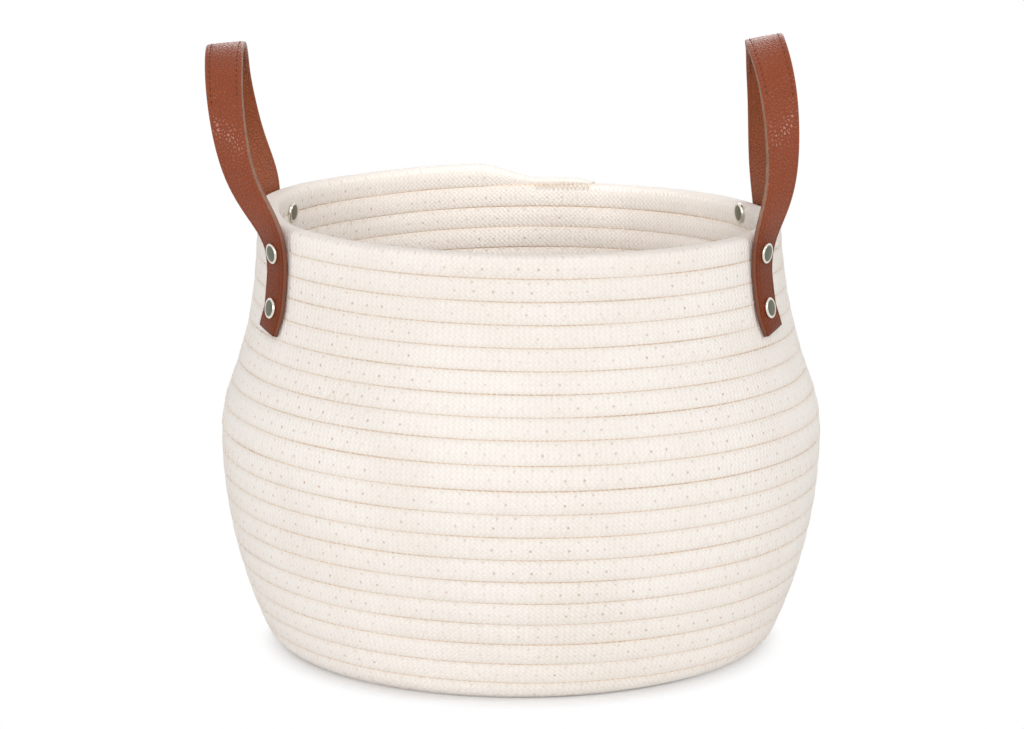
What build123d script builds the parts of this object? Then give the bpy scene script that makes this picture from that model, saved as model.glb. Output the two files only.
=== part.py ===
from build123d import *
import os
from math import asin, cos, degrees, hypot, pi, radians, sin, sqrt

# A round storage bin of one rope, coiled into a flat base and a bellied wall and sewn turn to turn.
# Two leather strap handles are riveted through the wall. Millimetres, +Z up, the base stands on Z = 0.

# Rope and winding
rope_diameter = 9.5
course_gap = 0.5  # between neighbouring turns
start_radius = 8.5  # centre line of the first turn
base_flat_radius = 104.0  # centre line where the flat base ends
wall_turns = 20.25
rope_end_azimuth = 83.0  # where the rope ends at the rim, close to the back
foot_flat = 0.5  # depth of the flat that the base stands on

# Wall outline: arcs of the rope's centre line from the base up
corner_radius = 10.0
corner_slope = 66.0  # from level, where the corner meets the lower wall
lower_wall_radius = 215.0
shoulder_radius = 58.0
shoulder_lean = 21.0  # from upright towards the mouth, at the steepest
neck_radius = 230.0
rim_lean = 2.0

# Bar of sewing thread inside the rim, which holds the end of the rope
seam_bar_length = 25.0
seam_bar_height = 3.0
seam_bar_thickness = 0.8
seam_bar_overlap = 6.0  # length of it below the rope's last turn
seam_bar_gap = 0.15  # to the rope

# Handle straps, of two leather skins on a filler
strap_width = 18.0
face_thickness = 1.0
filler_thickness = 0.6
lining_thickness = 1.0
glue_line = 0.05  # between layers, and under the edge stitching
strap_wall_gap = 0.3
attachment_azimuth = 24.0  # strap ends, from the middle of their handle
handle_turn = 4.2  # middle of a handle from the X axis, towards the front
tab_end_margin = 12.0  # lower rivet to the strap's end
bend_rise = 1.3  # bend line above the highest rim
bend_clearance = 0.25
arch_height = 73.0
leg_flat = 5.0  # angle round the arch, from the bend line, before the strap turns
leg_twist = 36.0  # from the arch's plane, once the legs have left the wall
leg_twist_run = 15.0  # angle round the arch in which the strap turns to that
left_lean = 16.5  # outward from upright
right_lean = 0.5

# Edge stitching of the straps
edge_thread_width = 0.7
edge_thread_height = 0.35
edge_thread_inset = 2.2  # strap edge to the middle of the row
edge_thread_margin = 20.0  # angle round the arch that is left plain at each end

# Double-cap rivets
upper_rivet_drop = 10.0  # along the wall, from the rope's end
rivet_spacing = 25.0
rivet_cap_diameter = 10.0
rivet_cap_height = 1.8
rivet_cap_edge = 1.1  # rounding
rivet_cap_rim = 0.2  # straight side below the rounding, at the least
rivet_stem_diameter = 2.8
rivet_shank_diameter = 4.0
rivet_bore_clearance = 0.1
rivet_hole_clearance = 0.2
rivet_end_gap = 0.6
rivet_seat_gap = 0.1  # inner cap to the rope

# Counts
steps_per_turn = 72
arch_spans = 36

# Worked out from the sizes above
rope_radius = rope_diameter / 2
pitch = rope_diameter + course_gap
wall_length = wall_turns * pitch
base_start = start_radius - base_flat_radius
strap_thickness = face_thickness + filler_thickness + lining_thickness + 2 * glue_line
strap_back = rope_radius + strap_wall_gap  # from the rope's centre line
strap_middle = strap_back + strap_thickness / 2
strap_front = strap_back + strap_thickness
lining_top = lining_thickness - strap_thickness / 2
filler_low = lining_top + glue_line
layers = {  # low and high, from the middle of the strap
    "lining": (-strap_thickness / 2, lining_top),
    "filler": (filler_low, filler_low + filler_thickness),
    "face": (strap_thickness / 2 - face_thickness, strap_thickness / 2),
}
outline = [  # arc radius, slope at the start, slope at the end
    (corner_radius, 0.0, corner_slope),
    (lower_wall_radius, corner_slope, 90.0),
    (shoulder_radius, 90.0, 90.0 + shoulder_lean),
    (neck_radius, 90.0 + shoulder_lean, 90.0 + rim_lean),
]
upward = Vector(0, 0, 1)


# The rope's route

def meridian(s):
    """Radius, height and slope of the wound centre line, s being the turns past the base times the pitch.
    On an arc the turns are spaced by their chord, so that they keep their gap."""
    radius, height, slope = base_flat_radius, rope_radius - foot_flat, 0.0
    if s <= 0:
        return radius + s, height, slope
    for arc_radius, start, end in outline:
        way = 1 if end > start else -1
        stretch = 2 * arc_radius * asin(pitch / (2 * arc_radius)) / pitch
        run = min(s * stretch, arc_radius * radians(abs(end - start)))
        slope = radians(start) + way * run / arc_radius
        radius += way * arc_radius * (sin(slope) - sin(radians(start)))
        height += way * arc_radius * (cos(radians(start)) - cos(slope))
        s -= run / stretch
    return radius + s * cos(slope), height + s * sin(slope), slope


def route_point(s):
    """Point of the winding, which climbs clockwise."""
    radius, height, _ = meridian(s)
    azimuth = radians(rope_end_azimuth) + 2 * pi * (wall_length - s) / pitch
    return Vector(radius * cos(azimuth), radius * sin(azimuth), height)


def route_way(s):
    step = pitch / 10000
    return (route_point(s + step) - route_point(s - step)).normalized()


def biarc(start, start_way, end, end_way):
    """Two tangent arcs between two points with given directions."""
    chord = end - start
    along = chord.dot(start_way + end_way)
    bend = 2 * (1 - start_way.dot(end_way))
    reach = (sqrt(along * along + bend * chord.dot(chord)) - along) / bend
    first, second = start + start_way * reach, end - end_way * reach
    middle = (first + second) * 0.5
    return [
        Edge.make_tangent_arc(start, start_way, middle),
        Edge.make_tangent_arc(middle, second - first, end),
    ]


def wound_rope(s_start, s_end):
    """Rope swept along quarter-turn biarcs of the winding."""
    quarters = round(4 * (s_end - s_start) / pitch)
    stops = [s_start + (s_end - s_start) * i / quarters for i in range(quarters + 1)]
    nodes = [(route_point(s), route_way(s)) for s in stops]
    edges = []
    for (start, start_way), (end, end_way) in zip(nodes, nodes[1:]):
        edges += biarc(start, start_way, end, end_way)
    path = Wire(edges)
    section = Plane(origin=path @ 0, z_dir=path % 0) * Circle(rope_radius)
    rope = sweep(section, path=path)
    expected = path.length * pi * rope_radius ** 2
    print(f"rope {rope.volume:.0f} mm3, section times length {expected:.0f} mm3")
    return rope


def print_least_gap(name, s_start, s_end):
    """Smallest space between a turn and the next, measured on points."""
    count = int((s_end - s_start) / pitch * steps_per_turn)
    points = [route_point(s_start + pitch * i / steps_per_turn) for i in range(count + 1)]
    nearby = range(steps_per_turn // 2, steps_per_turn * 3 // 2)
    gaps = [
        (points[i + k] - points[i]).length for i in range(count + 1) for k in nearby if i + k <= count
    ]
    print(f"{name}: least gap {min(gaps) - rope_diameter:.3f} mm")


# Places on the wall

def wall_frame(azimuth, s, stand_off):
    """Plane at a distance outside the rope's centre line: x across a strap, y up the wall, z outward."""
    radius, height, slope = meridian(s)
    radial = Vector(cos(radians(azimuth)), sin(radians(azimuth)), 0)
    outward = radial * sin(slope) - upward * cos(slope)
    origin = radial * radius + upward * height + outward * stand_off
    return Plane(origin=origin, x_dir=upward.cross(radial), z_dir=outward)


strap_ends = [  # handle, end, side of the X axis, end of the Y axis, azimuth
    ("left", "front", -1, -1, 180 + handle_turn + attachment_azimuth),
    ("left", "rear", -1, 1, 180 + handle_turn - attachment_azimuth),
    ("right", "front", 1, -1, -handle_turn - attachment_azimuth),
    ("right", "rear", 1, 1, attachment_azimuth - handle_turn),
]
upper_rivet_s = wall_length - upper_rivet_drop
lower_rivet_s = upper_rivet_s - rivet_spacing
rivet_rows = {"upper": upper_rivet_s, "lower": lower_rivet_s}
rivet_hole_diameter = rivet_shank_diameter + 2 * rivet_hole_clearance
bend_height = meridian(wall_length)[1] + rope_radius + bend_rise
rim_radius = meridian(upper_rivet_s)[0] + rope_radius
half_span = (rim_radius - rope_radius + strap_middle) * sin(radians(attachment_azimuth))
bend_x = sqrt(rim_radius ** 2 - (half_span - strap_width / 2) ** 2) + strap_middle - rope_radius
arch_end_drop = strap_thickness / 2  # the arch's own end below the bend line
tab_top_drop = hypot(strap_thickness / 2, arch_end_drop) + bend_clearance


# Straps

def ribbon(stations, x_low, x_high, n_low, n_high):
    """Ruled solid through rectangles. A station is a centre, a direction across and a normal."""
    corners = [(x_low, n_low), (x_high, n_low), (x_high, n_high), (x_low, n_high)]
    sections = [
        Wire.make_polygon([centre + across * x + normal * n for x, n in corners])
        for centre, across, normal in stations
    ]
    return Solid.make_loft(sections, ruled=True)


def strap_layer(stations, layer):
    return ribbon(stations, -strap_width / 2, strap_width / 2, *layers[layer])


def to_handle(side, x, y, z):
    """Vector in a handle's own directions: outward, to the rear end and up."""
    return Vector(side * x, y, z).rotate(Axis.Z, -side * handle_turn)


def tab_stations(side, end, azimuth):
    """From the strap's end up the wall, flat under the rivets, then turning square to the bend line."""
    foot = wall_frame(azimuth, lower_rivet_s - tab_end_margin, strap_middle)
    stations = [(foot.origin, foot.x_dir, foot.z_dir)]
    for s in (lower_rivet_s, upper_rivet_s):
        seat = wall_frame(azimuth, s, strap_middle)
        for way in (-1, 1):
            place = seat.origin + seat.y_dir * way * rivet_cap_diameter / 2
            stations.append((place, seat.x_dir, seat.z_dir))
    top = to_handle(side, bend_x, end * half_span, bend_height - tab_top_drop)
    stations.append((top, to_handle(side, 0, side, 0), to_handle(side, 1, 0, 0)))
    return stations


def arch_stations(side, lean):
    """Half an ellipse from the front bend to the rear one. At its ends the strap faces away from the bin,
    and at its top it faces up."""
    tilt = radians(lean)
    outward = to_handle(side, cos(tilt), 0, -sin(tilt))
    rise = to_handle(side, sin(tilt), 0, cos(tilt))
    back = to_handle(side, 0, 1, 0)
    foot = to_handle(side, bend_x, 0, bend_height)
    stations = []
    for i in range(arch_spans + 1):
        angle = pi * i / arch_spans
        centre = foot - back * half_span * cos(angle) + rise * arch_height * sin(angle)
        along = (back * half_span * sin(angle) + rise * arch_height * cos(angle)).normalized()
        plain = outward.cross(along) * side
        turned = (min(angle, pi - angle) - radians(leg_flat)) / radians(leg_twist_run)
        share = min(1.0, max(0.0, turned))
        settled = share * share * (3 - 2 * share)
        twist = radians(leg_twist) * abs(cos(angle)) * settled + pi / 2 * (1 - settled)
        normal = plain * cos(twist) + outward * sin(twist)
        stations.append((centre, along.cross(normal) * side, normal))
    first, last = stations[0], stations[-1]
    stations.insert(0, (first[0] - rise * arch_end_drop, first[1], first[2]))
    stations.append((last[0] - rise * arch_end_drop, last[1], last[2]))
    return stations


def edge_thread(stations, edge):
    """A row of stitching beside one edge: the thread on the face and the one on the lining."""
    plain = 1 + round(edge_thread_margin / 180 * arch_spans)
    run = stations[plain:-plain]
    middle = edge * (strap_width / 2 - edge_thread_inset)
    low, high = middle - edge_thread_width / 2, middle + edge_thread_width / 2
    face = strap_thickness / 2 + glue_line
    return Compound([
        ribbon(run, low, high, face, face + edge_thread_height),
        ribbon(run, low, high, -face - edge_thread_height, -face),
    ])


# Rivets

def rivet_hole(azimuth, s):
    """Hole through the strap and the wall."""
    length = 2 * (strap_front + rope_radius)
    return wall_frame(azimuth, s, 0) * Cylinder(rivet_hole_diameter / 2, length)


def rivet_cap():
    """Flat cap with a rounded edge, on Z = 0."""
    cap = Cylinder(rivet_cap_diameter / 2, rivet_cap_height, align=(Align.CENTER, Align.CENTER, Align.MIN))
    rounding = min(rivet_cap_edge, rivet_cap_height - rivet_cap_rim)
    return fillet(cap.edges().sort_by(Axis.Z)[-1], rounding)


def rivet(azimuth, s):
    """Outer cap with its stem, and inner cap with the hollow shank that takes the stem."""
    seat = wall_frame(azimuth, s, 0)
    inner = rope_radius + rivet_seat_gap
    bore_diameter = rivet_stem_diameter + 2 * rivet_bore_clearance
    grip = strap_front + inner
    stem_length = grip - rivet_end_gap
    shank_length = grip - rivet_end_gap
    stem = Pos(0, 0, strap_front - stem_length / 2) * Cylinder(rivet_stem_diameter / 2, stem_length)
    shank = Pos(0, 0, shank_length / 2 - inner) * Cylinder(rivet_shank_diameter / 2, shank_length)
    bore = Pos(0, 0, shank_length / 2 - inner) * Cylinder(bore_diameter / 2, shank_length)
    outer_part = Pos(0, 0, strap_front) * rivet_cap() + stem
    inner_part = Pos(0, 0, -inner) * Rot(180, 0, 0) * rivet_cap() + (shank - bore)
    return seat * outer_part, seat * inner_part


# The pieces

def seam_bar():
    """Plain curved bar on the inner side of the last whole turn."""
    radius, height, _ = meridian(wall_length - pitch)
    outer_radius = radius - rope_radius - seam_bar_gap
    middle = Pos(outer_radius - seam_bar_thickness / 2, height)
    profile = Plane.XZ * middle * Rectangle(seam_bar_thickness, seam_bar_height)
    first = rope_end_azimuth + degrees((seam_bar_overlap - seam_bar_length) / outer_radius)
    return Rot(0, 0, first) * revolve(profile, Axis.Z, revolution_arc=degrees(seam_bar_length / outer_radius))


def rope_and_seam(holes):
    floor_side = 2 * (base_flat_radius + rope_diameter)
    floor = Pos(0, 0, -rope_diameter / 2) * Box(floor_side, floor_side, rope_diameter)
    print_least_gap("base_coil", base_start, 0)
    print_least_gap("wall_coil", 0, wall_length)
    print_least_gap("whole rope", base_start, wall_length)
    return {
        "base_coil": wound_rope(base_start, 0) - floor,
        "wall_coil": wound_rope(0, wall_length) - holes,
        "wall_seam_thread": seam_bar(),
    }


def tabs_and_rivets(holes_by_end):
    pieces = {}
    for handle, end_name, side, end, azimuth in strap_ends:
        stations = tab_stations(side, end, azimuth)
        for layer in layers:
            pieces[f"{handle}_{end_name}_tab_{layer}"] = strap_layer(stations, layer) - holes_by_end[azimuth]
        for row, s in rivet_rows.items():
            outer_part, inner_part = rivet(azimuth, s)
            pieces[f"{handle}_{end_name}_{row}_rivet_cap"] = outer_part
            pieces[f"{handle}_{end_name}_{row}_rivet_socket"] = inner_part
    return pieces


def arches():
    pieces = {}
    for handle, side, lean in (("left", -1, left_lean), ("right", 1, right_lean)):
        stations = arch_stations(side, lean)
        for layer in layers:
            pieces[f"{handle}_arch_{layer}"] = strap_layer(stations, layer)
        pieces[f"{handle}_outer_edge_thread"] = edge_thread(stations, 1)
        pieces[f"{handle}_inner_edge_thread"] = edge_thread(stations, -1)
    return pieces


def main():
    holes_by_end = {
        azimuth: [rivet_hole(azimuth, s) for s in rivet_rows.values()] for *_, azimuth in strap_ends
    }
    holes = [hole for pair in holes_by_end.values() for hole in pair]
    pieces = rope_and_seam(holes) | tabs_and_rivets(holes_by_end) | arches()
    os.makedirs("parts", exist_ok=True)
    for name, shape in pieces.items():
        export_step(shape, f"parts/{name}.step")
    print(f"bend line at x {bend_x:.2f}, z {bend_height:.2f}, half span {half_span:.2f}")
    belly = max(meridian(pitch * i / steps_per_turn)[0] for i in range(int(wall_turns * steps_per_turn)))
    print(f"rim top {bend_height - bend_rise:.2f}, belly radius {belly + rope_radius:.2f}")


main()
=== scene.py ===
import bpy
import bmesh
from math import asin, atan, cos, exp, pi, radians, sin
from mathutils import Matrix, Vector, noise


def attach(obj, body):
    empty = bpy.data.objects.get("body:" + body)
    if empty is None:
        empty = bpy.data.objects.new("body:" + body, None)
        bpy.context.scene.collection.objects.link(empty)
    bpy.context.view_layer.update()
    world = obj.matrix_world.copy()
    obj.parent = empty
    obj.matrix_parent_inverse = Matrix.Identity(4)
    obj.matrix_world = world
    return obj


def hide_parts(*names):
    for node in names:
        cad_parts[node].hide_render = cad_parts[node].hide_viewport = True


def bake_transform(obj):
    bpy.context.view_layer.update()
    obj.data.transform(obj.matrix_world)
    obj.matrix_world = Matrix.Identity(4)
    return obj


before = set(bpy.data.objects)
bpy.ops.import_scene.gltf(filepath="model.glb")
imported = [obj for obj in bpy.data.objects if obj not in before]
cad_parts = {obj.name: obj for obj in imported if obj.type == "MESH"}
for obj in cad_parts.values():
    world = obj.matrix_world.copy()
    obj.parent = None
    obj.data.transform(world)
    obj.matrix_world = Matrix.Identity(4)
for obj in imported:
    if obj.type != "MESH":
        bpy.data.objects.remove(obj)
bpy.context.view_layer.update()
scene = bpy.context.scene
up = Vector((0, 0, 1))


# Rope route, as it is wound: metres, s is the number of turns past the base times the pitch

ropeRoute = {
    "pitch": 0.010,
    "radius": 0.00475,
    "footFlat": 0.0005,
    "startRadius": 0.0085,
    "flatRadius": 0.104,
    "wallTurns": 20.25,
    "endAzimuth": 83.0,
    "arcs": [(0.010, 0, 66), (0.215, 66, 90), (0.058, 90, 111), (0.230, 111, 92)],  # radius, slopes
    "pulls": [(160.0, 0.0048, 20.0), (208.0, 0.0015, 15.0)],  # by a strap: azimuth, reach and width
    "pullFrom": 0.135,  # height where that starts
    "pullRun": 0.055,
    "unevenRate": 90,  # of the hand-sewn drift, for each metre of s
}
pitch = ropeRoute["pitch"]
wallLength = ropeRoute["wallTurns"] * pitch
baseStart = ropeRoute["startRadius"] - ropeRoute["flatRadius"]


def meridian(s):
    radius, height, slope = ropeRoute["flatRadius"], ropeRoute["radius"] - ropeRoute["footFlat"], 0.0
    if s <= 0:
        return radius + s, height, slope
    for arcRadius, start, end in ropeRoute["arcs"]:
        if s < 1e-9:
            break
        way = 1 if end > start else -1
        stretch = 2 * arcRadius * asin(pitch / (2 * arcRadius)) / pitch
        run = min(s * stretch, arcRadius * radians(abs(end - start)))
        slope = radians(start) + way * run / arcRadius
        radius += way * arcRadius * (sin(slope) - sin(radians(start)))
        height += way * arcRadius * (cos(radians(start)) - cos(slope))
        s -= run / stretch
    return radius + s * cos(slope), height + s * sin(slope), slope


def smooth(t):
    t = min(1.0, max(0.0, t))
    return t * t * (3 - 2 * t)


def azimuthAt(s, halfTurn=0.0):
    return radians(ropeRoute["endAzimuth"]) + halfTurn + 2 * pi * (wallLength - s) / pitch


def wallPoint(s, azimuth):
    radius, height, slope = meridian(s)
    pulled = smooth((height - ropeRoute["pullFrom"]) / ropeRoute["pullRun"])
    for middle, reach, width in ropeRoute["pulls"]:
        away = (azimuth - radians(middle) + pi) % (2 * pi) - pi
        radius += reach * exp(-(away / radians(width)) ** 2) * pulled
    radial = Vector((cos(azimuth), sin(azimuth), 0))
    outward = radial * sin(slope) - up * cos(slope)
    along = radial * cos(slope) + up * sin(slope)
    return radial * radius + up * height, outward, along


def drift(azimuth, s, reach, seed, scale):
    # slow hand-sewn unevenness that runs on along the rope
    spot = Vector((cos(azimuth) * scale, sin(azimuth) * scale, s * ropeRoute["unevenRate"] + seed))
    return reach * noise.noise(spot)


# Mesh helpers

def gridTube(rings, sides, place, uvMaps):
    # a grid wrapped round a route and closed at both ends; place and uvMaps take a ring and a side
    mesh = bmesh.new()
    bmesh.ops.create_grid(mesh, x_segments=rings - 1, y_segments=sides, size=0.5)
    cell = {v: (round((v.co.x + 0.5) * (rings - 1)), round((v.co.y + 0.5) * sides)) for v in mesh.verts}
    for uvName, uvAt in uvMaps.items():
        layer = mesh.loops.layers.uv.new(uvName)
        for face in mesh.faces:
            for loop in face.loops:
                loop[layer].uv = uvAt(*cell[loop.vert])
    for vert, (i, j) in cell.items():
        vert.co = place(i, j)
    bmesh.ops.remove_doubles(mesh, verts=mesh.verts, dist=1e-7)
    bmesh.ops.holes_fill(mesh, edges=[e for e in mesh.edges if e.is_boundary], sides=0)
    bmesh.ops.recalc_face_normals(mesh, faces=mesh.faces)
    return mesh


def joined(meshes):
    whole = bmesh.new()
    for mesh in meshes:
        part = bpy.data.meshes.new("part")
        mesh.to_mesh(part)
        mesh.free()
        whole.from_mesh(part)
        bpy.data.meshes.remove(part)
    return whole


def meshPiece(name, mesh):
    for face in mesh.faces:
        face.smooth = True
    data = bpy.data.meshes.new(name)
    mesh.to_mesh(data)
    mesh.free()
    piece = bpy.data.objects.new(name, data)
    scene.collection.objects.link(piece)
    return piece


def dress(piece, material, slotName):
    piece.data.materials.clear()
    piece.data.materials.append(material)


# Material helpers

def newMaterial(name, colour, roughness):
    material = bpy.data.materials.new(name)
    material.use_nodes = True
    shader = material.node_tree.nodes["Principled BSDF"]
    shader.inputs["Base Color"].default_value = (*colour, 1)
    shader.inputs["Roughness"].default_value = roughness
    return material, material.node_tree, shader


def addNode(tree, kind, inputs=None, **settings):
    node = tree.nodes.new(kind)
    for key, value in settings.items():
        setattr(node, key, value)
    for key, value in (inputs or {}).items():
        if isinstance(value, bpy.types.NodeSocket):
            tree.links.new(value, node.inputs[key])
        else:
            node.inputs[key].default_value = value
    return node


def maths(tree, operation, a, b=0.0, c=0.0):
    node = addNode(tree, "ShaderNodeMath", {0: a, 1: b, 2: c}, operation=operation)
    return node.outputs[0]


def mixColour(tree, factor, a, b, blend="MIX"):
    a, b = ((*colour, 1) if isinstance(colour, tuple) else colour for colour in (a, b))
    node = addNode(tree, "ShaderNodeMix", {0: factor, 6: a, 7: b}, data_type="RGBA", blend_type=blend)
    return node.outputs[2]


def fade(tree, value, low, high):
    node = addNode(
        tree, "ShaderNodeMapRange", {"Value": value, "From Min": low, "From Max": high},
        interpolation_type="SMOOTHSTEP",
    )
    return node.outputs["Result"]


def uvOf(tree, name):
    return addNode(tree, "ShaderNodeUVMap", uv_map=name).outputs["UV"]


def objectPlace(tree):
    return addNode(tree, "ShaderNodeTexCoord").outputs["Object"]


def splitUp(tree, vector):
    return addNode(tree, "ShaderNodeSeparateXYZ", {0: vector}).outputs


def speckle(tree, vector, scale, detail=2.0, output="Fac"):
    node = addNode(tree, "ShaderNodeTexNoise", {"Vector": vector, "Scale": scale, "Detail": detail})
    return node.outputs[output]


def keepLeast(tree, share, least):
    return maths(tree, "MULTIPLY_ADD", share, 1 - least, least)


def darken(tree, colour, share):
    grey = addNode(tree, "ShaderNodeCombineColor", {0: share, 1: share, 2: share}).outputs[0]
    return mixColour(tree, 1.0, colour, grey, "MULTIPLY")


def bumpInto(tree, shader, height, strength, distance):
    node = addNode(
        tree, "ShaderNodeBump", {"Strength": strength, "Distance": distance, "Height": height}
    )
    tree.links.new(node.outputs["Normal"], shader.inputs["Normal"])


def srgb(r, g, b):
    def linear(v):
        v /= 255
        return v / 12.92 if v <= 0.04045 else ((v + 0.055) / 1.055) ** 2.4
    return linear(r), linear(g), linear(b)


# Cotton rope

ropeLook = {
    "cream": srgb(248, 241, 234),
    "shadeCream": srgb(244, 236, 228),
    # painted shade in the valleys where the courses meet
    "valleyShadeCream": srgb(236, 223, 210),
    # painted shade of the gap between courses
    "seamGapShade": srgb(220, 192, 164),
    # painted shade in the needle holes
    "needleHoleShade": srgb(203, 176, 148),
    "plaitLength": 0.0024,  # one chevron along the rope
    "plaitHeight": 0.0022,  # one chevron up the rope's face
    "needleRows": [  # height on the rope's face, seam it belongs to, phase, strength
        (0.0032, 0, 0.5, 0.55), (-0.0008, 1, 0.0, 0.95),
    ],
    "needleSize": (0.00060, 0.00066),  # half length along the rope and up its face
    "needleWander": (0.22, 0.0012),  # of a zigzag, and up the face
    "needleShadeShare": 0.8,
    "needleDepth": 0.8,
    "needleEdge": (0.25, 1.3),  # squared distances from its middle over which a hole fades
    "seamEdge": (0.0046, 0.0050),  # heights between which the face turns into the seam
    "valleyEdge": (0.0028, 0.0050),
    "valleyShadeShare": 0.45,
    "plaitShade": (0.030, 0.993),  # swing and middle of its brightness
    "plaitDepth": 0.50,
    "fibreDepth": 1.0,
    "bump": (0.6, 0.0004),
    "scales": {"fibre": 900.0, "patch": 22.0, "wander": 75.0, "pull": 130.0, "tight": 17.0, "dash": 620.0},
    "ranges": {"patch": (0.35, 0.7), "pull": (0.38, 0.62), "tight": (0.28, 0.62), "dash": (0.36, 0.60)},
    "least": {"pull": 0.3, "tight": 0.35, "dash": 0.3},  # strength left where that noise is low
    "roughness": 0.92,
    "specular": 0.15,
    "sheen": (0.25, 0.5),  # weight and roughness
}
zigzag = {
    "period": 0.0078,  # along the seam
    "above": 0.0042,  # needle rows from the seam
    "below": 0.0018,
    "thread": 0.00022,
    "proud": -0.00010,
    "sink": 0.0007,
    "stops": [0.0, 0.14, 0.5, 0.86],  # along a stitch, which starts in the rope
    "sides": 4,
    "endGap": 0.0012,  # of s, before the rope's tail
    "baseLead": 0.003,  # of s, before the base's first turn
    "light": srgb(249, 243, 235),
    "dark": srgb(236, 226, 214),
    "plies": 260.0,
    "bump": (0.3, 0.0001),
    "roughness": 0.75,
    "specular": 0.25,
    "leastRadius": 0.002,  # of a turn, when the zigzags in the middle of the base are counted
}


def countZigzags():
    # zigzags sewn up to each step of s
    step = 0.0002
    count = [0.0]
    s = baseStart - pitch
    while s < wallLength + pitch:
        radius = max(meridian(s)[0], zigzag["leastRadius"])
        count.append(count[-1] + 2 * pi * radius / pitch * step / zigzag["period"])
        s += step
    return step, count


zigzagStep, zigzagCount = countZigzags()


def zigzagsAt(s):
    t = (s - (baseStart - pitch)) / zigzagStep
    i = min(max(int(t), 0), len(zigzagCount) - 2)
    return zigzagCount[i] + (zigzagCount[i + 1] - zigzagCount[i]) * (t - i)


def needleHoles(tree, height, seams, coords):
    # rows of holes that the needle left, some pulled open and some closed
    scales, ranges, least = ropeLook["scales"], ropeLook["ranges"], ropeLook["least"]
    wander = maths(tree, "SUBTRACT", speckle(tree, coords, scales["wander"], 0.0), 0.5)
    along, rise = ropeLook["needleWander"]
    holes = None
    for place, seamIndex, shift, strength in ropeLook["needleRows"]:
        step = maths(tree, "ADD", seams[seamIndex], shift + 0.5)
        step = maths(tree, "ADD", step, maths(tree, "MULTIPLY", wander, along))
        dx = maths(tree, "SUBTRACT", maths(tree, "FRACT", step), 0.5)
        dx = maths(tree, "MULTIPLY", dx, zigzag["period"] / ropeLook["needleSize"][0])
        level = maths(tree, "MULTIPLY_ADD", wander, rise, maths(tree, "SUBTRACT", height, place))
        dv = maths(tree, "DIVIDE", level, ropeLook["needleSize"][1])
        far = maths(tree, "ADD", maths(tree, "MULTIPLY", dx, dx), maths(tree, "MULTIPLY", dv, dv))
        inside = maths(tree, "SUBTRACT", 1.0, fade(tree, far, *ropeLook["needleEdge"]))
        hole = maths(tree, "MULTIPLY", inside, strength)
        holes = hole if holes is None else maths(tree, "MAXIMUM", holes, hole)
    pull = fade(tree, speckle(tree, coords, scales["pull"]), *ranges["pull"])
    tight = fade(tree, speckle(tree, coords, scales["tight"], 1.0), *ranges["tight"])
    pull, tight = keepLeast(tree, pull, least["pull"]), keepLeast(tree, tight, least["tight"])
    return maths(tree, "MULTIPLY", holes, maths(tree, "MULTIPLY", pull, tight))


def ropeMaterial():
    material, tree, shader = newMaterial("cottonRope", ropeLook["cream"], ropeLook["roughness"])
    scales, ranges = ropeLook["scales"], ropeLook["ranges"]
    uv = uvOf(tree, "route")
    length, height = splitUp(tree, uv)[:2]
    seams = splitUp(tree, uvOf(tree, "sewing"))
    coords = objectPlace(tree)
    zig = maths(tree, "PINGPONG", maths(tree, "DIVIDE", height, ropeLook["plaitHeight"]), 0.5)
    phase = maths(tree, "ADD", maths(tree, "DIVIDE", length, ropeLook["plaitLength"]), zig)
    plait = maths(tree, "SINE", maths(tree, "MULTIPLY", phase, 2 * pi))
    fibre = speckle(tree, coords, scales["fibre"], 4.0)
    patch = fade(tree, speckle(tree, coords, scales["patch"]), *ranges["patch"])
    holes = needleHoles(tree, height, seams, coords)
    fromMiddle = maths(tree, "ABSOLUTE", height)
    # painted shade of the gap between courses, in dashes along the seam
    dash = fade(tree, speckle(tree, uv, scales["dash"], 1.0), *ranges["dash"])
    dash = keepLeast(tree, dash, ropeLook["least"]["dash"])
    seam = maths(tree, "MULTIPLY", fade(tree, fromMiddle, *ropeLook["seamEdge"]), dash)
    # painted shade: each course's face darkens towards its seams, where the courses meet
    valley = fade(tree, fromMiddle, *ropeLook["valleyEdge"])
    valley = maths(tree, "MULTIPLY", valley, ropeLook["valleyShadeShare"])
    colour = mixColour(tree, patch, ropeLook["cream"], ropeLook["shadeCream"])
    colour = mixColour(tree, valley, colour, ropeLook["valleyShadeCream"])
    colour = mixColour(tree, seam, colour, ropeLook["seamGapShade"])
    # painted shade in the needle holes
    holeShade = maths(tree, "MULTIPLY", holes, ropeLook["needleShadeShare"])
    colour = mixColour(tree, holeShade, colour, ropeLook["needleHoleShade"])
    colour = darken(tree, colour, maths(tree, "MULTIPLY_ADD", plait, *ropeLook["plaitShade"]))
    tree.links.new(colour, shader.inputs["Base Color"])
    fuzz = maths(tree, "MULTIPLY", fibre, ropeLook["fibreDepth"])
    relief = maths(tree, "MULTIPLY_ADD", plait, ropeLook["plaitDepth"], fuzz)
    relief = maths(tree, "SUBTRACT", relief, maths(tree, "MULTIPLY", holes, ropeLook["needleDepth"]))
    bumpInto(tree, shader, relief, *ropeLook["bump"])
    shader.inputs["Sheen Weight"].default_value = ropeLook["sheen"][0]
    shader.inputs["Sheen Roughness"].default_value = ropeLook["sheen"][1]
    shader.inputs["Specular IOR Level"].default_value = ropeLook["specular"]
    return material


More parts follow.
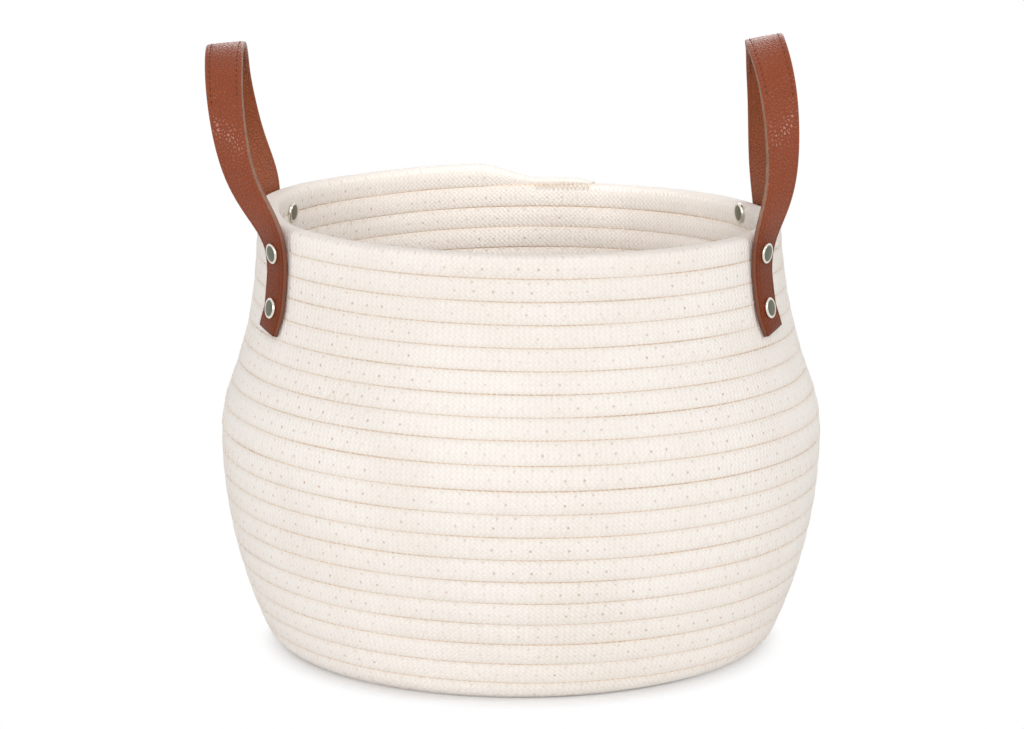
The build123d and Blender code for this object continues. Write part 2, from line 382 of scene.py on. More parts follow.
ropeShape = {
    "halfHeight": 0.00513,  # along the wall, so that courses press together
    "halfDepth": 0.00475,  # across the wall
    "corner": 0.00065,
    "rimCorner": 0.0024,  # of the free upper edge of the last turn
    "cornerSteps": 2,
    "ringsPerTurn": 160,
    "endReach": 0.00030,  # of s, the thinned tail past the seam's end
    "tail": (0.00036, 0.00080),  # of s before the end: where it is thin, and where still whole
    "tailThin": 0.28,
    "tailDepth": 0.6,  # of the thin tail, across the wall
    "tip": (0.35, 0.3),  # thinnest, and the share of the thin stretch that it takes
    "rimTurn": (1.03, 0.05),  # turns before the end where the free edge starts, and over how much
    "rimFace": 0.8,  # of the face's height there, which keeps the seam off the rim
    "core": 0.0002,  # left open in the middle of the base
    "startTuck": 0.0125,  # of s, the rope's start that is tucked into the middle
    "outDrift": (0.00028, 0.0, 2.2),  # reach, seed and scale round the wall
    "upDrift": (0.00022, 40.0, 3.0),
    "driftStart": 0.03,  # of s, over which the drift grows
}


def ropeSection(upper):
    # outline from the middle of the outer face: depth and height
    depth, height, lower = ropeShape["halfDepth"], ropeShape["halfHeight"], ropeShape["corner"]
    corners = [(1, 1, upper), (-1, 1, upper), (-1, -1, lower), (1, -1, lower)]
    outline = [(depth, 0.0)]
    for quarter, (out, rise, corner) in enumerate(corners):
        if quarter == 2:
            outline.append((-depth, 0.0))
        for k in range(ropeShape["cornerSteps"] + 1):
            angle = radians(90 * quarter + 90 * k / ropeShape["cornerSteps"])
            x = out * (depth - corner) + corner * cos(angle)
            outline.append((x, rise * (height - corner) + corner * sin(angle)))
    return outline


def tailShare(left):
    # how whole the rope is, this far before its end
    thin, whole = ropeShape["tail"]
    thinnest, tipShare = ropeShape["tip"]
    share = ropeShape["tailThin"] + (1 - ropeShape["tailThin"]) * smooth((left - thin) / (whole - thin))
    return share * (thinnest + (1 - thinnest) * smooth(left / (thin * tipShare)))


def ropeRoll(name, sStart, sEnd, freeEnd):
    turns = (sEnd - sStart) / pitch
    rings = int(turns * ropeShape["ringsPerTurn"]) + 1
    stations = []
    run = 0.0
    for i in range(rings):
        s = sStart + (sEnd - sStart) * i / (rings - 1)
        azimuth = azimuthAt(s)
        centre = wallPoint(s, azimuth)[0]
        lift = smooth(s / ropeShape["driftStart"])
        out = drift(azimuth, s, *ropeShape["outDrift"]) * lift
        middle = s + drift(azimuth, s, *ropeShape["upDrift"]) * lift
        share, rim = 1.0, 0.0
        if freeEnd:
            share = tailShare(sEnd - s)
            rimStart, rimRun = ropeShape["rimTurn"]
            rim = smooth((s - sEnd + rimStart * pitch) / (rimRun * pitch))
            middle -= ropeShape["halfHeight"] * (1 - share)
        if stations:
            run += (centre - stations[-1][0]).length
        section = ropeSection(ropeShape["corner"] + (ropeShape["rimCorner"] - ropeShape["corner"]) * rim)
        upperFace = 1 - (1 - ropeShape["rimFace"]) * rim
        faceHeights = [h * upperFace if h > 0 else h for _, h in section]
        sewn = zigzagsAt(s + pitch / 2), zigzagsAt(s - pitch / 2)
        stations.append((centre, middle, azimuth, out, share, section, run, faceHeights, sewn))
    sides = len(section)

    def place(i, j):
        middle, azimuth, out, share, section = stations[i][1:6]
        depth, height = section[j % sides]
        level = max(middle + height * share, ropeShape["core"] - ropeRoute["flatRadius"])
        centre, outward, _ = wallPoint(level, azimuth)  # so that courses lie flush
        deep = ropeShape["tailDepth"] + (1 - ropeShape["tailDepth"]) * share
        spot = centre + outward * (depth * deep + out)
        spot.z = max(spot.z, 0.0)
        return spot

    uvMaps = {
        "route": lambda i, j: (stations[i][6], stations[i][7][j % sides]),
        "sewing": lambda i, j: stations[i][8],
    }
    return meshPiece(name, gridTube(rings, sides, place, uvMaps))


rope = ropeMaterial()
baseRope = ropeRoll("baseRope", baseStart - ropeShape["startTuck"], 0.0, False)
wallRope = ropeRoll("wallRope", 0.0, wallLength + ropeShape["endReach"], True)
for piece, node in ((baseRope, "base_coil"), (wallRope, "wall_coil")):
    dress(piece, rope, "cotton_rope")
    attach(piece, "basket")
    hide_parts(node)
print("rope wound", len(wallRope.data.polygons), len(baseRope.data.polygons))


# Zigzag stitches

def threadMaterial():
    material, tree, shader = newMaterial("seamThread", zigzag["light"], zigzag["roughness"])
    twist = addNode(
        tree, "ShaderNodeTexWave",
        {"Vector": uvOf(tree, "route"), "Scale": zigzag["plies"], "Distortion": 1.0},
        bands_direction="DIAGONAL",
    ).outputs["Fac"]
    colour = mixColour(tree, twist, zigzag["dark"], zigzag["light"])
    tree.links.new(colour, shader.inputs["Base Color"])
    bumpInto(tree, shader, twist, *zigzag["bump"])
    shader.inputs["Specular IOR Level"].default_value = zigzag["specular"]
    return material


def seamAt(turns):
    # place on the seam where this many zigzags are sewn
    low, high = 0, len(zigzagCount) - 1
    while high - low > 1:
        middle = (low + high) // 2
        if zigzagCount[middle] < turns:
            low = middle
        else:
            high = middle
    share = (turns - zigzagCount[low]) / max(1e-9, zigzagCount[high] - zigzagCount[low])
    return baseStart - pitch + (low + share) * zigzagStep


def threadTube(spots, radius, sides):
    last = len(spots) - 1
    ways = [(spots[min(i + 1, last)] - spots[max(i - 1, 0)]).normalized() for i in range(len(spots))]
    runs = [0.0]
    for a, b in zip(spots, spots[1:]):
        runs.append(runs[-1] + (b - a).length)

    def place(i, j):
        sideways = ways[i].cross(up).normalized()
        other = ways[i].cross(sideways)
        angle = 2 * pi * (j % sides) / sides
        return spots[i] + (sideways * cos(angle) + other * sin(angle)) * radius

    return gridTube(len(spots), sides, place, {"route": lambda i, j: (runs[i], j / sides)})


def zigzagThread(sStart, sEnd, face):
    # face is 1 outside the wall and under the base, -1 inside
    first, last = int(2 * zigzagsAt(sStart)) + 1, int(2 * zigzagsAt(sEnd))
    spots = []
    for k in range(first, last):
        startHeight, endHeight = (zigzag["above"], -zigzag["below"])[:: 1 if k % 2 == 0 else -1]
        for share in zigzag["stops"]:
            lift = zigzag["proud"] if share else -zigzag["sink"]
            s = seamAt((k + share) / 2)
            height = startHeight + (endHeight - startHeight) * share
            centre, outward, _ = wallPoint(s + height, azimuthAt(s, pi))
            spots.append(centre + outward * face * (ropeShape["halfDepth"] + lift))
    return threadTube(spots, zigzag["thread"], zigzag["sides"])


endTack = {
    "stitches": 26,
    "reach": 1.1,  # of the tail's thin stretch
    "above": 0.0020,  # from the seam under the tail
    "below": 0.0016,
    "thread": 0.00030,
    "proud": 0.00012,
    "sides": 6,
    "colour": srgb(243, 229, 210),
    "roughness": 0.7,
}


def tackThread():
    # dense stitches that hold the rope's tail down, inside the mouth
    spots = []
    end = wallLength + ropeShape["endReach"]
    for k in range(endTack["stitches"] + 1):
        s = end - ropeShape["tail"][0] * endTack["reach"] * (1 - k / endTack["stitches"])
        height = (endTack["above"], -endTack["below"])[k % 2]
        centre, outward, _ = wallPoint(s - pitch / 2 + height, azimuthAt(s))
        spots.append(centre - outward * (ropeShape["halfDepth"] + endTack["proud"]))
    return threadTube(spots, endTack["thread"], endTack["sides"])


sewing = threadMaterial()
seamEnd = wallLength - pitch / 2 - zigzag["endGap"]
stitchRuns = [  # name, seam start and end, face
    ("wallStitchesOutside", pitch / 2, seamEnd, 1),
    ("wallStitchesInside", pitch, seamEnd, -1),
    ("baseStitches", baseStart - zigzag["baseLead"], 0.0, -1),
]
for name, sStart, sEnd, face in stitchRuns:
    piece = meshPiece(name, zigzagThread(sStart, sEnd, face))
    dress(piece, sewing, "seam_thread")
    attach(piece, "basket")
    print("sewn", name, len(piece.data.polygons))
tack = meshPiece("ropeEndTack", tackThread())
dress(tack, newMaterial("tackThread", endTack["colour"], endTack["roughness"])[0], "seam_thread")
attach(tack, "basket")
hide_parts("wall_seam_thread")


# Leather handles

strapShape = {
    "halfWidth": 0.0085,
    "halfThickness": 0.00135,
    "skinInside": 0.00080,  # from the strap's middle
    "middle": 0.0064,  # from the rope's centre line
    "azimuth": 24.0,  # strap ends, from the middle of their handle
    "turn": 4.2,  # middle of a handle from the X axis, towards the front
    "endS": wallLength - 0.0458,
    "kickS": wallLength - 0.034,  # below this the strap's end swings sideways
    "kick": 1.5,
    "leaveS": wallLength - 0.0085,  # where the strap leaves the wall
    "bend": (0.11258, 0.04857, 0.20281),  # out, to an end, up
    "foldHeight": 0.197,  # where the straps start to lean away from the wall
    "topHeight": 0.276,
    "tiltShare": 0.7,
    "joinAngle": 9.0,  # round the arch, where it takes over
    "twist": 36.0,
    "twistPower": 1.4,
    "rootTwist": 12.0,
    "rootRun": 30.0,
    "rearRun": 0.03,  # over which the rear leg's bow grows
    "rearEase": 0.3,
    "held": 3,  # steps below the rim that the easing reaches
    "easing": 18,  # rounds of smoothing over the bend at the rim
    "stepsUp": 14,
    "stepsOver": 8,
    "stepsRound": 64,
    "stitchInset": 0.0022,
    "channel": 0.00016,
    "channelHalf": 0.0004,
    "crown": 0.00022,
    "waver": 0.00010,  # unevenness of the layers
    "waverRates": (45, 60, 400),  # of that along, across and through the strap
    "innerInset": 0.0001,  # flat side of a skin
    "innerStop": 0.003,
    "mapShift": 0.1,  # between the two sides of a layer in its map
    "nodPower": 4,
    "edgeDrops": [(0.0, 0.00040), (0.00015, 0.00022), (0.0004, 0.00010), (0.0008, 0.00003), (0.0014, 0.0)],
    "faceInsets": [0.0031, 0.0045, 0.0060, 0.0075],
    "fillerEdge": [
        (0.0, -0.00098), (0.00014, -0.00060), (0.00018, 0.0), (0.00014, 0.00060), (0.0, 0.00098),
    ],
    "fillerInset": 0.0001,
    "bendStart": 0.2005,  # heights of two points at the middle of each handle
    "bendEnd": 0.2150,
}
handles = {  # legs' reach outward, height that takes, drop back at the top, arch's rise, rear leg's bow
    "left": {
        "side": -1, "reach": 0.0223, "softness": 0.036, "nod": 0.0, "rise": 0.0705, "rear": 0.0018,
    },
    "right": {
        "side": 1, "reach": 0.0035, "softness": 0.028, "nod": 0.0070, "rise": 0.0735, "rear": -0.0022,
    },
}


def strapBow(handle, z):
    rise = max(0.0, z - strapShape["foldHeight"])
    whole = strapShape["topHeight"] - strapShape["foldHeight"]
    nod = handle["nod"] * (rise / whole) ** strapShape["nodPower"]
    return handle["reach"] * (1 - exp(-rise / handle["softness"])) - nod


def rearBow(handle, spot):
    # the rear leg's own bow
    whole, ease = strapShape["topHeight"] - strapShape["foldHeight"], strapShape["rearEase"]
    rise = max(0.0, spot.z - strapShape["foldHeight"]) / whole
    share = smooth((spot.y - archMiddle(handle).y) / strapShape["rearRun"])
    return handle["rear"] * share * smooth(rise / ease) * smooth((1 - rise) / ease)


def outOf(handle, out, back, rise):
    # a direction from a handle: outward, to the rear and up
    return Vector((handle["side"] * out, back, rise))


def archMiddle(handle):
    turn = radians(strapShape["turn"])
    return outOf(handle, strapShape["bend"][0] * cos(turn), -strapShape["bend"][0] * sin(turn), 0)


def tabFrame(handle, end, s):
    below = (strapShape["kickS"] - s) / (strapShape["kickS"] - strapShape["endS"])
    toEnd = strapShape["turn"] - end * (strapShape["azimuth"] - strapShape["kick"] * smooth(below))
    azimuth = radians(180 + toEnd if handle["side"] < 0 else -toEnd)
    centre, outward, along = wallPoint(s, azimuth)
    return centre + outward * strapShape["middle"], outward, along


def archFrame(handle, angle):
    span, height = strapShape["bend"][1:]
    centre = archMiddle(handle) + Vector((0, -span * cos(angle), height + handle["rise"] * sin(angle)))
    step = 0.001
    slope = (strapBow(handle, centre.z + step) - strapBow(handle, centre.z - step)) / (2 * step)
    tilt = atan(slope) * strapShape["tiltShare"]
    outward = outOf(handle, cos(tilt), 0, -sin(tilt))
    rise = outOf(handle, sin(tilt), 0, cos(tilt))
    along = outOf(handle, 0, span * sin(angle), 0) + rise * handle["rise"] * cos(angle)
    root = 1 - smooth(min(angle, pi - angle) / radians(strapShape["rootRun"]))
    twist = strapShape["twist"] * abs(cos(angle)) ** strapShape["twistPower"]
    twist = radians(twist + strapShape["rootTwist"] * root)
    plain = outward.cross(along.normalized()) * handle["side"]
    return centre, plain * cos(twist) + outward * sin(twist), along.normalized()


def strapRoute(handle):
    # centre, direction across, normal and length so far, from the front end to the rear one
    join, onWall = radians(strapShape["joinAngle"]), strapShape["leaveS"] - strapShape["endS"]
    halves = {}
    for end in (-1, 1):
        spots = []
        for i in range(strapShape["stepsUp"] + 1):
            s = strapShape["endS"] + onWall * i / strapShape["stepsUp"]
            spots.append(tabFrame(handle, end, s))
        low, lowNormal, lowWay = spots[-1]
        high, highNormal, highWay = archFrame(handle, join if end < 0 else pi - join)
        highWay = highWay * -end
        reach = (high - low).length
        for i in range(1, strapShape["stepsOver"]):
            t = i / strapShape["stepsOver"]
            spot = low * (2 * t ** 3 - 3 * t ** 2 + 1) + high * (3 * t ** 2 - 2 * t ** 3)
            spot += (lowWay * (t ** 3 - 2 * t ** 2 + t) + highWay * (t ** 3 - t ** 2)) * reach
            spots.append((spot, lowNormal.lerp(highNormal, smooth(t)), None))
        halves[end] = [(spot, normal) for spot, normal, _ in spots]
    steps = strapShape["stepsRound"]
    angles = [join + (pi - 2 * join) * i / steps for i in range(steps + 1)]
    spots = halves[-1] + [archFrame(handle, a)[:2] for a in angles] + halves[1][::-1]
    bows = [strapBow(handle, spot.z) + rearBow(handle, spot) for spot, _ in spots]
    spots = [(spot + outOf(handle, bow, 0, 0), normal) for (spot, normal), bow in zip(spots, bows)]
    held = strapShape["stepsUp"] - strapShape["held"]
    for _ in range(strapShape["easing"]):
        eased = list(spots)
        for i in range(held, len(spots) - held):
            (a, aNormal), (b, bNormal), (c, cNormal) = spots[i - 1:i + 2]
            eased[i] = (a + 2 * b + c) / 4, (aNormal + 2 * bNormal + cNormal) / 4
        spots = eased
    route, run = [], 0.0
    for i, (spot, normal) in enumerate(spots):
        way = (spots[min(i + 1, len(spots) - 1)][0] - spots[max(i - 1, 0)][0]).normalized()
        normal = (normal - way * normal.dot(way)).normalized()
        run += (spot - spots[i - 1][0]).length if i else 0.0
        route.append((spot, way.cross(normal), normal, run))
    return route


def skinSection(outer):
    # a skin's outline: its crowned outer side with sewn channels, then its flat inner side
    half, thick = strapShape["halfWidth"], strapShape["halfThickness"]
    row, channel, beside = strapShape["stitchInset"], strapShape["channel"], strapShape["channelHalf"]
    drops = list(strapShape["edgeDrops"])
    drops += [(row - beside, channel / 2), (row, channel), (row + beside, channel / 2)]
    drops += [(inset, 0.0) for inset in strapShape["faceInsets"]]
    left = [(inset - half, thick - drop) for inset, drop in drops]
    top = left + [(0.0, thick)] + [(-x, n) for x, n in left[::-1]]
    top = [(x, n + strapShape["crown"] * (1 - (x / half) ** 2)) for x, n in top]
    edge, stop = half - strapShape["innerInset"], strapShape["innerStop"]
    inner = [(x, strapShape["skinInside"]) for x in (edge, stop, -stop, -edge)]
    return [(x, n * outer) for x, n in top + inner]


def fillerSection():
    edge, half = strapShape["fillerEdge"], strapShape["halfWidth"] - strapShape["fillerInset"]
    right, left = [(half + x, n) for x, n in edge], [(-half - x, -n) for x, n in edge]
    return right + [edge[-1]] + left + [edge[0]]


def strapLayer(route, section):
    rates = strapShape["waverRates"]

    def place(i, j):
        centre, across, normal, run = route[i]
        x, n = section[j % len(section)]
        wave = noise.noise(Vector((run * rates[0], x * rates[1], n * rates[2])))
        return centre + across * x + normal * (n + wave * strapShape["waver"])

    def uvAt(i, j):
        x, n = section[j % len(section)]
        return route[i][3], x if n > 0 else x + strapShape["mapShift"]

    def endsAt(i, j):
        return min(route[i][3], route[-1][3] - route[i][3]), 0.0

    return gridTube(len(route), len(section), place, {"route": uvAt, "ends": endsAt})


def strapAt(route, end, s):
    # centre, direction across and normal where the strap lies over this place on the wall
    onWall = strapShape["leaveS"] - strapShape["endS"]
    step = (s - strapShape["endS"]) / onWall * strapShape["stepsUp"]
    i = step if end < 0 else len(route) - 1 - step
    return [a.lerp(b, i - int(i)) for a, b in zip(route[int(i)][:3], route[int(i) + 1][:3])]


def routeAt(route, run):
    i = 0
    while i < len(route) - 2 and route[i + 1][3] < run:
        i += 1
    share = (run - route[i][3]) / (route[i + 1][3] - route[i][3])
    return [a.lerp(b, share) for a, b in zip(route[i][:3], route[i + 1][:3])]


stitchLook = {
    "step": 0.0032,
    "radius": 0.00025,
    "sides": 6,
    "plainEnd": 0.043,  # of the arch, left without stitches at each end
    "ringRun": 0.0005,  # of thread from ring to ring, in its map
    "shape": [  # share of the step, lift
        (0.0, -0.0007), (0.06, -0.0002), (0.16, 0.0), (0.34, 0.00006),
        (0.52, 0.0), (0.62, -0.0002), (0.68, -0.0007),
    ],
}


def stitchRow(route, x, outer):
    arch = strapShape["stepsUp"] + strapShape["stepsOver"]
    start, end = route[arch][3] + stitchLook["plainEnd"], route[-arch - 1][3] - stitchLook["plainEnd"]
    level = strapShape["halfThickness"] + strapShape["crown"] * (1 - (x / strapShape["halfWidth"]) ** 2)
    level -= strapShape["channel"]
    rings = []
    for k in range(int((end - start) / stitchLook["step"])):
        for share, lift in stitchLook["shape"]:
            centre, across, normal = routeAt(route, start + (k + share) * stitchLook["step"])
            rings.append((centre + across * x + normal * outer * (level + lift), across, normal))
    sides = stitchLook["sides"]

    def place(i, j):
        centre, across, normal = rings[i]
        angle = 2 * pi * (j % sides) / sides
        return centre + (across * cos(angle) + normal * sin(angle)) * stitchLook["radius"]

    uvMaps = {"route": lambda i, j: (i * stitchLook["ringRun"], j / sides)}
    return gridTube(len(rings), sides, place, uvMaps)


leatherLook = {
    "faceTop": srgb(143, 66, 30),
    "faceCrease": srgb(128, 57, 26),
    "liningTop": srgb(154, 81, 48),
    "liningCrease": srgb(140, 73, 43),
    "edge": srgb(146, 112, 92),
    "edgeDark": srgb(112, 80, 62),
    "edgeTabShade": srgb(112, 66, 46),  # painted shade where the strap is riveted down
    "thread": srgb(108, 54, 34),
    "grain": 0.00185,
    "pebbleEdge": 0.30,
    "bump": (0.7, 0.00020),
    "roughness": (-0.20, 0.46),  # for each pebble's top, and in the creases
    "specular": (0.21, 0.07),  # more on the free strap, and where it is riveted down
    # painted shade on the riveted tabs: how dark they are painted
    "tabShadeTone": 0.72,
    "shadedTabEnds": (0.036, 0.056),  # from a strap's end, where it comes free
    "fineDepth": 0.15,  # against a pebble's
    "broadTone": (-0.1, 0.6),
    "edgeStreaks": (250.0, 2500.0, 1.0),
    "edgeGrain": (0.35, 0.75),
    "edgeBump": (0.3, 0.0001),
    "edgeRoughness": 0.6,
    "scales": {"warp": 500.0, "fine": 2600.0, "broad": 60.0},
    "warp": (0.0005, 0.0005, 0.0),
    "threadPlies": 700.0,
    "threadDark": 0.7,
    "threadBump": (0.4, 0.0001),
    "threadRoughness": 0.85,
}


def shadedTabShare(tree):
    # 0 where the strap is riveted down, 1 where it is free; the riveted tabs are painted in shade
    return fade(tree, splitUp(tree, uvOf(tree, "ends"))[0], *leatherLook["shadedTabEnds"])


def leatherMaterial(name, top, crease):
    material, tree, shader = newMaterial(name, top, 0.5)
    scales = leatherLook["scales"]
    uv = uvOf(tree, "route")
    warp = speckle(tree, uv, scales["warp"], output="Color")
    bent = addNode(tree, "ShaderNodeVectorMath", {0: warp, 1: leatherLook["warp"]}, operation="MULTIPLY")
    place = addNode(tree, "ShaderNodeVectorMath", {0: uv, 1: bent.outputs[0]}, operation="ADD")
    cells = addNode(
        tree, "ShaderNodeTexVoronoi", {"Vector": place.outputs[0], "Scale": 1 / leatherLook["grain"]},
        feature="DISTANCE_TO_EDGE", voronoi_dimensions="2D",
    ).outputs["Distance"]
    pebble = fade(tree, cells, 0.0, leatherLook["pebbleEdge"])
    fine = speckle(tree, uv, scales["fine"], 3.0)
    broad = speckle(tree, uv, scales["broad"])
    tone = maths(tree, "MULTIPLY", pebble, fade(tree, broad, *leatherLook["broadTone"]))
    colour = mixColour(tree, tone, crease, top)
    free = shadedTabShare(tree)
    # painted shade on the riveted tabs
    colour = darken(tree, colour, keepLeast(tree, free, leatherLook["tabShadeTone"]))
    tree.links.new(colour, shader.inputs["Base Color"])
    rough = maths(tree, "MULTIPLY_ADD", pebble, *leatherLook["roughness"])
    tree.links.new(rough, shader.inputs["Roughness"])
    relief = maths(tree, "MULTIPLY_ADD", fine, leatherLook["fineDepth"], pebble)
    bumpInto(tree, shader, relief, *leatherLook["bump"])
    gloss = maths(tree, "MULTIPLY_ADD", free, *leatherLook["specular"])
    tree.links.new(gloss, shader.inputs["Specular IOR Level"])
    return material


def edgeMaterial():
    material, tree, shader = newMaterial("strapEdge", leatherLook["edge"], leatherLook["edgeRoughness"])
    inputs = {"Vector": uvOf(tree, "route"), "Scale": leatherLook["edgeStreaks"]}
    grain = speckle(tree, addNode(tree, "ShaderNodeMapping", inputs).outputs[0], 1.0, 3.0)
    dark = fade(tree, grain, *leatherLook["edgeGrain"])
    colour = mixColour(tree, dark, leatherLook["edge"], leatherLook["edgeDark"])
    # painted shade on the edges of the riveted tabs
    colour = mixColour(tree, shadedTabShare(tree), leatherLook["edgeTabShade"], colour)
    tree.links.new(colour, shader.inputs["Base Color"])
    bumpInto(tree, shader, grain, *leatherLook["edgeBump"])
    return material


def strapThreadMaterial():
    material, tree, shader = newMaterial(
        "strapThread", leatherLook["thread"], leatherLook["threadRoughness"]
    )
    twist = addNode(
        tree, "ShaderNodeTexWave", {"Vector": uvOf(tree, "route"), "Scale": leatherLook["threadPlies"]},
        bands_direction="DIAGONAL",
    ).outputs["Fac"]
    dark = tuple(v * leatherLook["threadDark"] for v in leatherLook["thread"])
    colour = mixColour(tree, twist, dark, leatherLook["thread"])
    tree.links.new(colour, shader.inputs["Base Color"])
    bumpInto(tree, shader, twist, *leatherLook["threadBump"])
    return material


faceLeather = leatherMaterial("faceLeather", leatherLook["faceTop"], leatherLook["faceCrease"])
liningLeather = leatherMaterial("liningLeather", leatherLook["liningTop"], leatherLook["liningCrease"])
strapEdge = edgeMaterial()
strapThread = strapThreadMaterial()
straps = {handle: strapRoute(bow) for handle, bow in handles.items()}
for handle, bow in handles.items():
    route = straps[handle]
    strapLayers = [
        ("face", skinSection(1), faceLeather, "leather"),
        ("filler", fillerSection(), strapEdge, "strap_filler"),
        ("lining", skinSection(-1), liningLeather, "leather"),
    ]
    for layer, section, material, slotName in strapLayers:
        piece = meshPiece(f"{handle}Strap{layer.capitalize()}", strapLayer(route, section))
        dress(piece, material, slotName)
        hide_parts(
            f"{handle}_arch_{layer}", f"{handle}_front_tab_{layer}", f"{handle}_rear_tab_{layer}"
        )
        x, y = archMiddle(bow).xy
        low, high = (x, y, strapShape["bendStart"]), (x, y, strapShape["bendEnd"])
        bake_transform(piece)
        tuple(low)
        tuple(high)
    for edgeName, edge in (("outer", 1), ("inner", -1)):
        x = edge * (strapShape["halfWidth"] - strapShape["stitchInset"])
        rows = joined([stitchRow(route, x, 1), stitchRow(route, x, -1)])
        piece = meshPiece(f"{handle}{edgeName.capitalize()}EdgeStitches", rows)
        dress(piece, strapThread, "strap_thread")
        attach(piece, f"{handle}_handle")
        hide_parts(f"{handle}_{edgeName}_edge_thread")
    print("strap made", handle, round(route[-1][3], 4))


# Rivets

rivetShape = {
    "rows": {"Upper": wallLength - 0.010, "Lower": wallLength - 0.035},
    "outerSeat": 0.00135,  # from the strap's middle
    "innerSeat": 0.00485,  # from the rope's centre line
    "rearLift": 0.0034,  # of the upper rivets at the rear
    "steps": 40,
    "profile": [  # radius, height
        (0.0, 0.00150), (0.0024, 0.00146), (0.0034, 0.00138), (0.0037, 0.00134), (0.0039, 0.00142),
        (0.0042, 0.00146), (0.0045, 0.00128), (0.00465, 0.00095), (0.00465, 0.00040), (0.0045, 0.00008),
        (0.0040, 0.0), (0.0, 0.0),
    ],
    "rim": srgb(226, 222, 212),
    # painted reflection: the dark middle of each cap
    "centre": srgb(98, 100, 84),
    "darkReflectionRadius": 0.0039,
    "centreEdge": 0.85,  # share of that where the painted dark reflection in the middle starts to fade
    "rub": (0.14, 0.10),  # uneven and least roughness
    "rubScale": 900.0,
}


def nickelMaterial():
    material, tree, shader = newMaterial("nickel", rivetShape["rim"], 0.14)
    radius = splitUp(tree, uvOf(tree, "face"))[0]
    whole = rivetShape["darkReflectionRadius"]
    outside = fade(tree, radius, whole * rivetShape["centreEdge"], whole)
    # painted reflection: a dark middle inside the nickel rim
    colour = mixColour(tree, outside, rivetShape["centre"], rivetShape["rim"])
    tree.links.new(colour, shader.inputs["Base Color"])
    rub = speckle(tree, objectPlace(tree), rivetShape["rubScale"], 3.0)
    tree.links.new(maths(tree, "MULTIPLY_ADD", rub, *rivetShape["rub"]), shader.inputs["Roughness"])
    shader.inputs["Metallic"].default_value = 1.0
    return material


def rivetCap(seat, axis):
    mesh = bmesh.new()
    spots = [mesh.verts.new((r, 0, z)) for r, z in rivetShape["profile"]]
    edges = [mesh.edges.new(pair) for pair in zip(spots, spots[1:])]
    bmesh.ops.spin(
        mesh, geom=spots + edges, cent=(0, 0, 0), axis=(0, 0, 1), angle=2 * pi,
        steps=rivetShape["steps"], use_merge=True,
    )
    bmesh.ops.remove_doubles(mesh, verts=mesh.verts, dist=1e-6)
    bmesh.ops.recalc_face_normals(mesh, faces=mesh.faces)
    layer = mesh.loops.layers.uv.new("face")
    for face in mesh.faces:
        for loop in face.loops:
            loop[layer].uv = (loop.vert.co.xy.length, loop.vert.co.z)
    turn = axis.to_track_quat("Z", "Y").to_matrix().to_4x4()
    bmesh.ops.transform(mesh, matrix=Matrix.Translation(seat) @ turn, verts=mesh.verts)
    return mesh


nickel = nickelMaterial()
for handle, bow in handles.items():
    for endName, end in (("Front", -1), ("Rear", 1)):
        for row, s in rivetShape["rows"].items():
            lift = rivetShape["rearLift"] if (endName, row) == ("Rear", "Upper") else 0.0
            middle, outward, _ = tabFrame(bow, end, s + lift)
            middle = middle - outward * strapShape["middle"]
            onStrap, _, normal = strapAt(straps[handle], end, s + lift)
            caps = [
                rivetCap(onStrap + normal * rivetShape["outerSeat"], normal),
                rivetCap(middle - outward * rivetShape["innerSeat"], -outward),
            ]
            piece = meshPiece(f"{handle}{endName}{row}Rivet", joined(caps))
            dress(piece, nickel, "nickel")
            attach(piece, "basket")
            node = f"{handle}_{endName}_{row}_rivet".lower()
            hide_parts(f"{node}_cap", f"{node}_socket")
print("rivets set")


# Floor, light and camera

photoView = {
    "place": (0.0, -1.700, 0.477),
    "pitch": 11.67,  # degrees downward
    "focalPixels": 3802.0,
    "imageWidth": 1024,
    "axisPixel": 521.0,
    "sensor": 36.0,
}


def setCamera():
    data = bpy.data.cameras.new("camera")
    data.sensor_width = photoView["sensor"]
    data.lens = photoView["focalPixels"] * photoView["sensor"] / photoView["imageWidth"]
    data.shift_x = (photoView["imageWidth"] / 2 - photoView["axisPixel"]) / photoView["imageWidth"]
    camera = bpy.data.objects.new("camera", data)
    camera.location = photoView["place"]
    camera.rotation_euler = (radians(90 - photoView["pitch"]), 0, 0)
    scene.collection.objects.link(camera)
    scene.camera = camera


stageLook = {
    "floorSize": 6.0,
    "floorColour": (0.88, 0.88, 0.88),
    "floorRoughness": 0.9,
    "seenColour": (0.97, 0.97, 0.97),  # of the floor, where the camera looks at it
    "floorGlow": 0.22,  # share of the floor that is seen as plain white, near the basket
    "floorFade": (0.107, 0.122),  # distances over which that share grows to the whole
    "fadeShift": (0.0, 0.006, 0.0),  # moves that fade towards the front
    "worldStrength": 0.50,
    "lamps": [  # name, direction it comes from, softness in degrees, strength
        ("frontLamp", (0.0, -1.0, 0.34), 35.0, 1.32),
        ("leftLamp", (-0.94, -0.26, 0.22), 9.0, 0.52),
        ("rightLamp", (0.86, -0.27, 0.42), 9.0, 0.52),
        ("rearLamp", (0.15, 1.0, 0.40), 35.0, 0.50),
    ],
    "mouthLamp": {
        "place": (0.0, -0.25, 0.75), "aim": (0.0, 0.11, 0.17), "cone": 22.0, "size": 0.12, "watts": 11.5,
    },
}


def backgroundSeen(tree):
    # 1 where the camera sees the background, also by reflection or through glass
    path = addNode(tree, "ShaderNodeLightPath")
    seen = maths(tree, "MAXIMUM", path.outputs["Is Camera Ray"], path.outputs["Is Glossy Ray"])
    return maths(tree, "MAXIMUM", seen, path.outputs["Is Transmission Ray"])


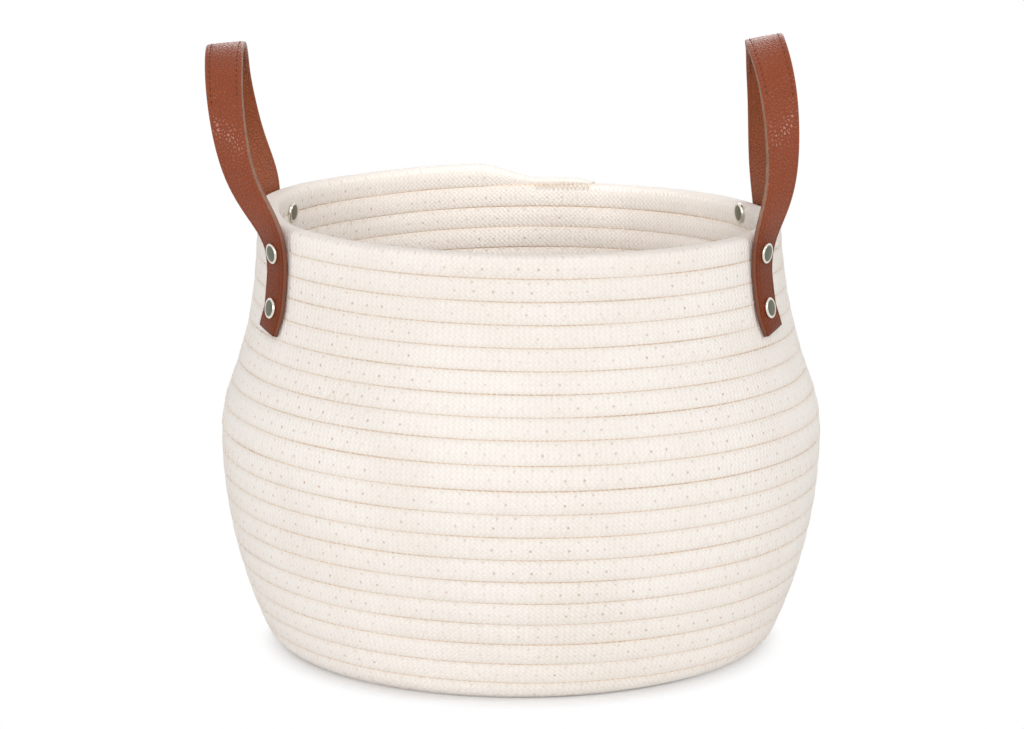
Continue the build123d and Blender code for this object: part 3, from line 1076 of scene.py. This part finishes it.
def setFloor():
    mesh = bmesh.new()
    bmesh.ops.create_grid(mesh, x_segments=1, y_segments=1, size=stageLook["floorSize"])
    floor = meshPiece("floor", mesh)
    material, tree, shader = newMaterial(
        "paleFloor", stageLook["floorColour"], stageLook["floorRoughness"]
    )
    shader.inputs["Specular IOR Level"].default_value = 0.0
    seen = backgroundSeen(tree)
    colour = mixColour(tree, seen, stageLook["floorColour"], stageLook["seenColour"])
    tree.links.new(colour, shader.inputs["Base Color"])
    moved = addNode(
        tree, "ShaderNodeVectorMath", {0: objectPlace(tree), 1: stageLook["fadeShift"]}, operation="ADD"
    )
    far = addNode(tree, "ShaderNodeVectorMath", {0: moved.outputs[0]}, operation="LENGTH").outputs["Value"]
    far = fade(tree, far, *stageLook["floorFade"])
    share = maths(tree, "MULTIPLY", seen, keepLeast(tree, far, stageLook["floorGlow"]))
    glow = addNode(tree, "ShaderNodeEmission", {"Color": (1, 1, 1, 1), "Strength": 1.0})
    mixed = addNode(tree, "ShaderNodeMixShader", {0: share, 1: shader.outputs[0], 2: glow.outputs[0]})
    tree.links.new(mixed.outputs[0], tree.nodes["Material Output"].inputs["Surface"])
    floor.data.materials.append(material)


def setWorld():
    world = bpy.data.worlds.new("studio")
    world.use_nodes = True
    tree = world.node_tree
    background = tree.nodes["Background"]
    inputs = {0: backgroundSeen(tree), 2: stageLook["worldStrength"], 3: 1.0}
    level = addNode(tree, "ShaderNodeMix", inputs, data_type="FLOAT")
    tree.links.new(level.outputs[0], background.inputs["Strength"])
    background.inputs["Color"].default_value = (1, 1, 1, 1)
    scene.world = world


def addLamp(name, kind, place, aim, energy):
    data = bpy.data.lights.new(name, kind)
    data.energy = energy
    lamp = bpy.data.objects.new(name, data)
    lamp.location = place
    lamp.rotation_euler = (Vector(aim) - Vector(place)).to_track_quat("-Z", "Y").to_euler()
    scene.collection.objects.link(lamp)
    return data


def setLamps():
    for name, comesFrom, softness, strength in stageLook["lamps"]:
        addLamp(name, "SUN", comesFrom, (0, 0, 0), strength).angle = radians(softness)
    mouth = stageLook["mouthLamp"]
    spot = addLamp("mouthLamp", "SPOT", mouth["place"], mouth["aim"], mouth["watts"])
    spot.spot_size, spot.spot_blend, spot.shadow_soft_size = radians(mouth["cone"]), 1.0, mouth["size"]


setCamera()
setFloor()
setWorld()
setLamps()
scene.view_settings.view_transform = "Standard"
print("stage set")
